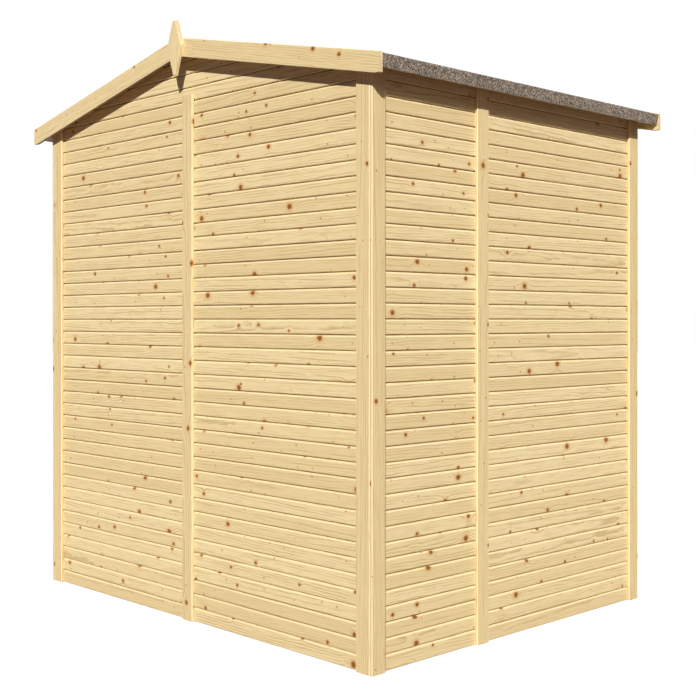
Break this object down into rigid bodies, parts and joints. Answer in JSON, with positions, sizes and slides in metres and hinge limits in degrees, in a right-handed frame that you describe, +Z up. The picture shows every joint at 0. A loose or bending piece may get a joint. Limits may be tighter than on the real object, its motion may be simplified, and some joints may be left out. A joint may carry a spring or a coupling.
{
  "type": "garden shed",
  "caption": "Wooden garden shed with horizontal pine boards, a low pitched roof covered in grey mineral felt, bargeboards and a diamond finial on each gable.",
  "frame": {"origin": "On the ground, under the middle of the shed's outer box.", "axes": "+Z up; +Y along the ridge from the windowless rear gable to the door gable; +X across the shed to the right of someone facing the rear gable."},
  "size_m": [1.9642, 1.534, 2.0841],
  "materials": {
    "pine": "satin",
    "planed_pine": "satin",
    "sawn_timber": "matte",
    "roofing_felt": "matte",
    "zinc_steel": "satin"
  },
  "bodies": {
    "root": {"floor_joists": "sawn_timber", "floor_deck": "sawn_timber", "rear_studs": "sawn_timber", "rear_rails": "sawn_timber", "rear_left_cladding": "pine", "rear_right_cladding": "pine", "rear_gable_top": "pine", "rear_cover_strip": "planed_pine", "front_studs": "sawn_timber", "front_rails": "sawn_timber", "front_left_cladding": "pine", "front_right_cladding": "pine", "front_gable_top": "pine", "gable_rafters": "sawn_timber", "ridge_beam": "sawn_timber", "right_studs": "sawn_timber", "right_rails": "sawn_timber", "right_rear_cladding": "pine", "right_front_cladding": "pine", "left_studs": "sawn_timber", "left_rails": "sawn_timber", "left_rear_cladding": "pine", "left_front_cladding": "pine", "side_cover_strips": "planed_pine", "rear_corner_trims": "planed_pine", "front_corner_trims": "planed_pine", "left_corner_trims": "planed_pine", "right_corner_trims": "planed_pine", "roof_deck_left": "sawn_timber", "roof_deck_right": "sawn_timber", "verge_rails": "sawn_timber", "eaves_rails": "sawn_timber", "felt_left": "roofing_felt", "felt_right": "roofing_felt", "ridge_felt": "roofing_felt", "rear_bargeboards": "planed_pine", "front_bargeboards": "planed_pine", "finials": "planed_pine", "door_leaf": "pine", "door_ledges": "sawn_timber", "door_stiles": "planed_pine", "door_jamb_trims": "planed_pine", "door_head_trim": "planed_pine", "door_hinges": "zinc_steel", "door_turn_buttons": "planed_pine"}
  },
  "joints": []
}
